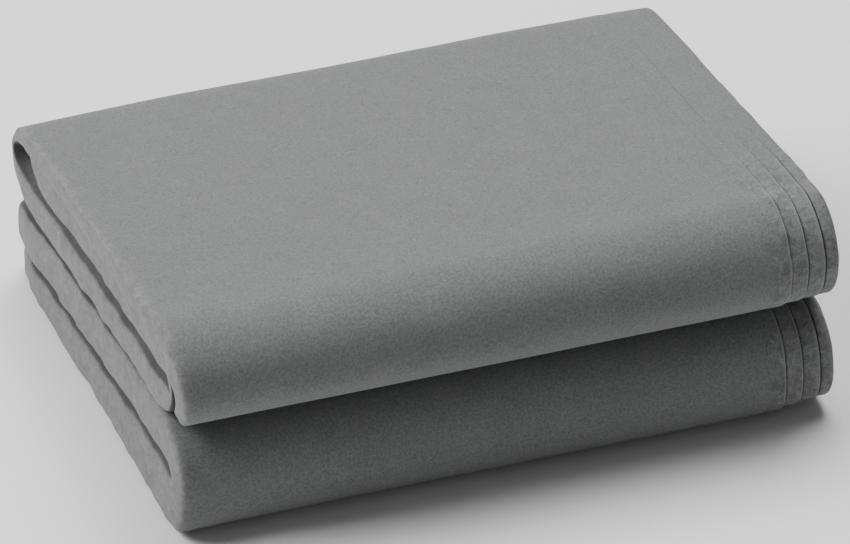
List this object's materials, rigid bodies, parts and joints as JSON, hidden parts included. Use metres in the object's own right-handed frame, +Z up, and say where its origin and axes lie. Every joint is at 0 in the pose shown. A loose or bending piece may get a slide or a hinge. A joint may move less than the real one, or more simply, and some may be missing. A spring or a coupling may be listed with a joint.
{
  "type": "folded throw blanket",
  "caption": "Plain brushed throw blanket folded into two stacked packets with rounded front folds, tucked inner flaps and stepped hems; the upper packet opens on its back fold.",
  "frame": {"origin": "centre of the underside, on the surface that the folded blanket rests on", "axes": "+X along the folded edges from the closed fold ends to the hemmed ends, +Y from the tall front folds to the back folds, +Z up"},
  "size_m": [0.3174, 0.228, 0.101],
  "materials": {
    "brushed_fleece": "brushed mid-grey fleece, matt, fine mottled nap",
    "turned_hem": "the same fleece turned over twice and stitched, slightly puckered"
  },
  "bodies": {
    "lower_packet": {"bottom_panel": "brushed_fleece", "lower_flap": "brushed_fleece", "lower_link_panel": "brushed_fleece", "lower_front_fold": "brushed_fleece", "lower_back_fold": "brushed_fleece", "lower_link_fold": "brushed_fleece", "lower_outer_hem": "turned_hem", "lower_second_hem": "turned_hem", "lower_quarter_fold_edge": "turned_hem"},
    "upper_packet": {"top_panel": "brushed_fleece", "upper_flap": "brushed_fleece", "upper_base_panel": "brushed_fleece", "upper_link_panel": "brushed_fleece", "upper_front_fold": "brushed_fleece", "upper_inner_fold": "brushed_fleece", "upper_back_fold": "brushed_fleece", "upper_link_fold": "brushed_fleece", "upper_outer_hem": "turned_hem", "upper_second_hem": "turned_hem", "upper_quarter_fold_edge": "turned_hem"}
  },
  "joints": [
    {"name": "back_fold", "type": "hinge", "parent": "lower_packet", "child": "upper_packet", "pos_m": [0, 0.114, 0.043], "axis": [-1, 0, 0], "range_deg": [0, 175.5]}
  ]
}
